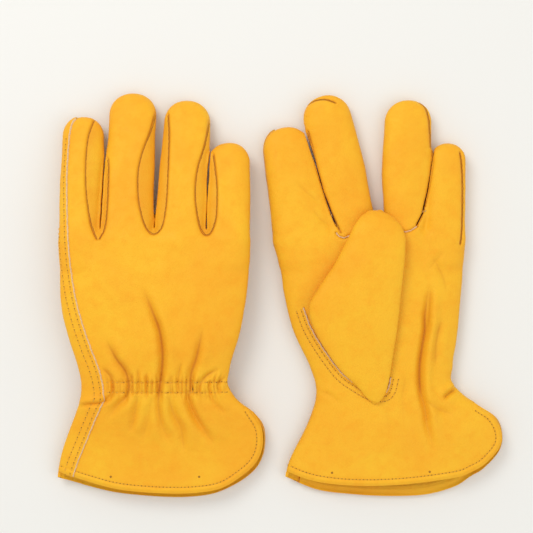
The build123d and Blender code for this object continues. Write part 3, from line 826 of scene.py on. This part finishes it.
def build(side, glove, other):
    place = local_place(side)
    f = glove["front"]
    field = hand_field(glove)
    for name in glove["fingers"]:
        sub, part = finger_field(glove, name, field)
        field[sub] = np.minimum(field[sub], part)
    field = part_fingers(glove, field)
    z = axes()[2]
    field = np.maximum(field, (0.15 - z)[None, None, :])
    points, quads = skin(field)
    points = relax(points, quads, 4)
    normals = normals_of(points, quads)
    height, shade = sculpt(glove, other, points, normals)
    smooth = normals
    points = points + normals * height[:, None]
    points[:, 2] = np.maximum(points[:, 2], 0.12)

    # Which leather each face belongs to.
    centre = points[quads].mean(axis=1)
    flat = centre[:, :2]
    on_hand = column(glove["hand"], 3, np.clip(flat[:, 1], -90, 100))
    middle = np.where(flat[:, 1] > KNUCKLE, finger_mid(glove, flat[:, 1] - KNUCKLE), on_hand)
    upper = centre[:, 2] > middle
    back = upper if f < 0 else ~upper
    back_hem, palm_hem, lap = curve(glove["back_hem"]), curve(glove["palm_hem"]), lap_line(glove)
    low = flat[:, 1] < -11
    outside = np.zeros(len(quads), bool)
    for hem, which in ((back_hem, back), (palm_hem, ~back)):
        ids = np.where(low & which)[0]
        _, sign, _ = to_line(flat[ids], hem)
        outside[ids] = sign < 0
    over = np.zeros(len(quads), bool)
    ids = np.where(back & (flat[:, 0] < -20) & ~outside)[0]
    _, sign, _ = to_line(flat[ids], lap)
    over[ids] = sign > 0
    for hem, which in ((back_hem, back), (palm_hem, ~back)):
        ids = shared(quads, outside & which, ~outside & which)
        snap(points, ids, hem)
    snap(points, shared(quads, over, back & ~over & ~outside), lap)
    normals = normals_of(points, quads)

    # Which finger each face past the knuckles belongs to.
    names = list(glove["fingers"])
    owner = np.where(flat[:, 1] > KNUCKLE + 4, parted(glove, flat)[0], -1)

    lap_d, lap_sign, _ = to_line(points[:, :2], lap)
    back_d, _, _ = to_line(points[:, :2], back_hem)
    palm_d, _, _ = to_line(points[:, :2], palm_hem)
    leathers = [GRAIN, SUEDE, RAW]

    def piece(name, mask, thick, raw, lift=None):
        moved = points if lift is None else points + normals * lift[:, None]
        moved = np.column_stack([moved[:, :2], np.maximum(moved[:, 2], 0.1)])
        return leather_piece(name, moved + place, quads[mask], normals, smooth, shade, thick, raw, turned,
                             leathers)

    up_back = normals[:, 2] * -f
    turned = (points[:, 1] < -11) & (np.minimum(back_d, palm_d) < 8.5)
    low_half = points[:, 1] < -11
    back_thick = LEATHER + 0.9 * (low_half & (back_d < 6.5)) * (up_back > -0.2)
    palm_thick = LEATHER + 0.9 * (low_half & (palm_d < 6.5)) * (up_back < 0.2)
    near_lap = (lap_d < 1.6) & (back_d > 1.2)
    lift = np.where(up_back > 0, 0.95 * np.clip(1.15 - lap_d / 9.0, 0, 1), 0)
    lift = np.where(lap_sign > 0, lift, lift * (lap_d < 0.3))
    none = np.zeros(len(points))
    hand = owner < 0
    made = {}
    made["back"] = piece(f"{side}_back_leather", back & ~over & ~outside & hand, back_thick, none)
    made["palm"] = piece(f"{side}_palm_leather", (~back | over) & ~outside & hand,
                         np.where(lap_d < 6, LEATHER, palm_thick), near_lap * 1.0, lift)
    for k, name in enumerate(names):
        mask = owner == k
        if name == "index":
            parts = [piece(f"{side}_index_back", mask & ~over & back, none + LEATHER, none),
                     piece(f"{side}_index_front", mask & (over | ~back), none + LEATHER, near_lap * 1.0,
                           lift)]
        else:
            parts = [piece(f"{side}_{name}_leather", mask, none + LEATHER, none)]
        made[name] = parts

    # The thumb.
    thumb_points, thumb_quads = skin(thumb_field(glove))
    thumb_points = relax(thumb_points, thumb_quads, 4)
    tn = normals_of(thumb_points, thumb_quads)
    shown = np.clip(tn[:, 2] * f * 1.5, 0, 1)
    puff = 0.3 * unevenness(thumb_points, 22, 31) + 0.08 * unevenness(thumb_points, 8, 32)
    thumb_points = thumb_points + tn * (puff * shown)[:, None]
    thumb_points[:, 2] = np.maximum(thumb_points[:, 2], 0.12)
    tn = normals_of(thumb_points, thumb_quads)
    made["thumb"] = make_mesh(f"{side}_thumb_leather", thumb_points + place, thumb_quads, tn,
                              np.zeros(len(thumb_points)), np.zeros(len(thumb_quads)), [GRAIN])

    # Threads and edges.
    body_tree = BVHTree.FromPolygons([Vector(p) for p in points], quads[~outside].tolist())
    above = f < 0
    rows = {f"{where}_stitches": [] for where in ("elastic", "lap", "thumb", "hem", "index_tip")}
    for row in ELASTIC_ROWS:
        line = np.array([(x, row) for x in np.linspace(-31, 46, 60)])
        rows["elastic_stitches"].append(stitch_row("s", body_tree, line, 3.1, above, place))
    raised = points + normals * lift[:, None]
    lap_tree = BVHTree.FromPolygons([Vector(p) for p in raised], quads[(over) & ~outside].tolist())
    for off in (2.0, 6.0):
        line = beside(lap, off)
        hand_line = line[(line[:, 1] > -58) & (line[:, 1] < KNUCKLE + 4)]
        tip_line = line[(line[:, 1] >= KNUCKLE + 4) & (line[:, 1] < 160)]
        rows["lap_stitches"].append(stitch_row("s", lap_tree, hand_line, 3.5, above, place))
        rows["index_tip_stitches"].append(stitch_row("s", lap_tree, tip_line, 3.5, above, place))
    seam = curve(THUMB_SEAM)
    for off in (-2.9, -6.0):
        rows["thumb_stitches"].append(stitch_row("s", body_tree, beside(seam, off), 2.9, not above, place))
    for hem, top in ((back_hem, above), (palm_hem, not above)):
        line = beside(hem, 4.0)
        line = line[(line[:, 0] > -62)]
        rows["hem_stitches"].append(stitch_row("s", body_tree, line, 2.3, top, place, 0.32))
    for name, objects in rows.items():
        made[name] = joined(f"{side}_{name}_thread", objects)

    # The raw edge of leather that shows along the thumb's seam.
    spots, ways = even(beside(seam, -0.9), 0.9)
    hit, up, kept = on_skin(body_tree, spots, not above)
    edges = [strip(f"{side}_thumb_edge", hit + place, up, level(ways[kept]), 1.15, 1.3)]
    if f > 0:
        for gunn in glove["seams"][:2]:
            spots, ways = even(curve(gunn), 0.9)
            hit, up, kept = on_skin(body_tree, spots, True)
            edges.append(strip("gunn", hit + place, up, level(ways[kept]), 0.95, 0.9))
    # Dark strips of painted shadow in the joins of the finger seams, grouped by the finger they lie on.
    joins = {}
    for seam_line in glove["seams"] if f < 0 else glove["seams"][2:]:
        spots, ways = even(curve(seam_line), 0.8)
        hit, up, kept = on_skin(body_tree, spots, True)
        side_ways = level(ways[kept])
        whose = np.argmin([np.abs((hit[:, 0] - r[0]) * (e[1] - r[1]) - (hit[:, 1] - r[1]) * (e[0] - r[0]))
                           / (e[1] - r[1]) / w[1] for r, e, *w in glove["fingers"].values()], axis=0)
        whose[hit[:, 1] < KNUCKLE + 4] = -1
        for owner_of in np.unique(whose):
            at = np.where(whose == owner_of)[0]
            for run in np.split(at, np.where(np.diff(at) > 1)[0] + 1):
                if len(run) > 2:
                    run = np.arange(run[0], min(run[-1] + 2, len(hit)))
                    joins.setdefault(owner_of, []).append(
                        strip("join", hit[run] + place, up[run], side_ways[run], 0.55, 0.18, SEAM_SHADOW))
    # Painted shadow strips on the hand go in with the raw edges.
    if -1 in joins:
        edges.extend(joins.pop(-1))
    made["joins"] = {names[k]: joined(f"{side}_{names[k]}_join", parts) for k, parts in joins.items()}
    lap_edges = []
    spots, ways = even(beside(lap, -0.1), 0.9)
    hit, up, kept = on_skin(body_tree, spots, above)
    ways = ways[kept]
    for chosen in (hit[:, 1] < KNUCKLE + 4.4, hit[:, 1] > KNUCKLE + 3.6):
        lap_edges.append(strip(f"{side}_lap_edge", hit[chosen] + place, up[chosen], level(ways[chosen]),
                               0.95, 1.15))
    edges.append(lap_edges[0])
    made["index_edge"] = lap_edges[1]
    made["edge"] = joined(f"{side}_raw_edges_and_seam_shadows", edges)

    # The elastic inside the back of the wrist, gathered with the leather.
    xs, ys = np.linspace(-31, 41.5, 120), np.linspace(-4.2, 6.7, 12)
    grid = np.array([(x, y) for y in ys for x in xs])
    hit, up, kept = on_skin(body_tree, grid, above)
    cells = np.array([(j * 120 + i, j * 120 + i + 1, (j + 1) * 120 + i + 1, (j + 1) * 120 + i)
                      for j in range(11) for i in range(119)])
    ribbon = hit - up * (LEATHER + 0.35)
    if np.mean(np.sum(normals_of(ribbon, cells) * up, axis=1)) < 0:
        cells = cells[:, ::-1]
    one, zero = np.ones(len(ribbon)), np.zeros(len(ribbon))
    made["elastic"] = leather_piece(f"{side}_elastic", ribbon + place, cells, up, up, zero, one, zero, zero,
                                    [ELASTIC, ELASTIC, ELASTIC])
    # Discs of painted shadow in the tag holes.
    hit, up, kept = on_skin(body_tree, np.array(glove["tag_holes"], float), True)
    made["tag_holes"] = dots(f"{side}_tag_holes", hit + place, up, 0.75)

    return made


def strip(name, spots, ups, ways, width, tall, material=None):
    """A narrow raised strip along a line: the raw edge of the leather, or a dark strip of painted shadow in
    the join of a seam.
    """
    side = unit(np.cross(ways, ups))
    outline = [(-0.5, -0.4), (-0.46, 0.55), (-0.2, 0.9), (0.2, 0.9), (0.46, 0.55), (0.5, -0.4)]
    wobble = 0.12 * np.sin(np.arange(len(spots)) * 1.7) + 0.08 * np.sin(np.arange(len(spots)) * 0.61)
    points = np.stack([spots + side * (a * width + wobble)[:, None] + ups * (b * tall)
                       for a, b in outline], 1)
    n = len(outline)
    faces = np.array([(i * n + k, (i + 1) * n + k, (i + 1) * n + k + 1, i * n + k + 1)
                      for i in range(len(spots) - 1) for k in range(n - 1)])
    flat = points.reshape(-1, 3)
    normals = normals_of(flat, faces)
    if np.mean(np.sum(normals.reshape(-1, n, 3)[:, 2] * ups, axis=1)) < 0:
        faces = faces[:, ::-1]
        normals = -normals
    return make_mesh(name, flat, faces, normals, np.zeros(len(flat)), np.zeros(len(faces)), [material or RAW])


def dots(name, spots, ups, radius):
    """Small discs of painted shadow where needle holes go through."""
    points, faces, normals = [], [], []
    for spot, up in zip(spots, ups):
        side = np.cross(up, np.array([0, 1.0, 0]))
        side /= np.linalg.norm(side)
        way = np.cross(side, up)
        faces.extend(disc_faces(len(points)))
        points.extend(disc(spot + up * 0.08, side, way, radius))
        normals.extend([up] * DISC_POINTS)
    points = np.array(points)
    return make_mesh(name, points, np.array(faces), np.array(normals), np.zeros(len(points)),
                     np.zeros(len(faces)), [HOLE_SHADOW])


def fit_out(side, glove, other):
    """Builds a glove, hangs the pieces of its hand on the CAD hand body and hides the CAD parts they replace;
    the finger and thumb pieces are left unattached.
    """
    made = build(side, glove, other)
    hand = f"{side}_hand"
    for key in ("back", "palm", "elastic_stitches", "lap_stitches", "thumb_stitches", "hem_stitches",
                "edge", "tag_holes", "elastic"):
        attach(made[key], hand)
    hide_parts(f"{side}_elastic_band")
    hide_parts(f"{side}_back_panel", f"{side}_back_hem")
    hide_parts(f"{side}_palm_panel", f"{side}_palm_hem", f"{side}_finger_fork")
    for key in ("elastic_stitches", "lap_stitches", "thumb_stitches", "hem_stitches"):
        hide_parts(f"{side}_{key}")
    for name in glove["fingers"]:
        pivot, axis = joint_of(f"{side}_{name}_bend")
        parts = list(made[name])
        if name == "index":
            parts.append(made["index_tip_stitches"])
            parts.append(made["index_edge"])
            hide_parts(f"{side}_index_tip_stitches")
            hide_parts(f"{side}_index_tip_back")
            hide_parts(f"{side}_index_tip_front")
        else:
            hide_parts(f"{side}_{name}_tip_back", f"{side}_{name}_tip_front")
        # The finger's strips of painted seam shadow go with its pieces.
        if name in made["joins"]:
            parts.append(made["joins"][name])
        for part in parts:
            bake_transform(part)
    pivot, axis = joint_of(f"{side}_thumb_swing")
    forward = Vector((-axis.y, axis.x, 0)).normalized()
    if forward.y < 0:
        forward = -forward
    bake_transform(made["thumb"])
    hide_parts(f"{side}_thumb_outer", f"{side}_thumb_inner")
    made["joins"] = list(made["joins"].values())


fit_out("right", RIGHT, LEFT)
fit_out("left", LEFT, RIGHT)


# The table, the light and the camera.
def floor():
    mesh = bpy.data.meshes.new("table")
    mesh.from_pydata([(-3, -3, -0.0002), (3, -3, -0.0002), (3, 3, -0.0002), (-3, 3, -0.0002)], [],
                     [(0, 1, 2, 3)])
    obj = bpy.data.objects.new("table", mesh)
    bpy.context.scene.collection.objects.link(obj)
    material, tree, bsdf = nodes_of("table_white")
    bsdf.inputs["Base Color"].default_value = (0.83, 0.82, 0.79, 1)
    bsdf.inputs["Roughness"].default_value = 0.9
    bsdf.inputs["Specular IOR Level"].default_value = 0.1
    mesh.materials.append(material)


def lamp(name, place, aim, size, power, color=(1, 1, 1)):
    light = bpy.data.lights.new(name, "AREA")
    light.shape = "DISK"
    light.size = size
    light.energy = power
    light.color = color
    obj = bpy.data.objects.new(name, light)
    bpy.context.scene.collection.objects.link(obj)
    obj.location = place
    obj.rotation_mode = "QUATERNION"
    obj.rotation_quaternion = (Vector(aim) - Vector(place)).to_track_quat("-Z", "Y")


floor()
lamp("key", (-0.55, 0.75, 1.1), (0, 0, 0), 0.7, 6.4, (1, 0.99, 0.97))
lamp("fill", (0.9, -0.3, 1.2), (0, 0, 0), 1.2, 2.6, (0.98, 0.99, 1))
lamp("top", (0.0, 0.0, 1.9), (0, 0, 0), 1.6, 3.4)
world = bpy.data.worlds.new("studio")
bpy.context.scene.world = world
world.use_nodes = True
world.node_tree.nodes["Background"].inputs["Color"].default_value = (1, 1, 0.98, 1)
world.node_tree.nodes["Background"].inputs["Strength"].default_value = 0.72
bpy.context.scene.view_settings.view_transform = "Standard"

span = 0.341
camera = bpy.data.cameras.new("camera")
camera.lens = 100
camera.sensor_width = 36
eye = bpy.data.objects.new("camera", camera)
bpy.context.scene.collection.objects.link(eye)
eye.location = (-0.0088, 0.0186, span * 100 / 36 + 0.012)
eye.rotation_mode = "QUATERNION"
eye.rotation_quaternion = (1, 0, 0, 0)
camera.clip_start, camera.clip_end = 0.05, 10
bpy.context.scene.camera = eye
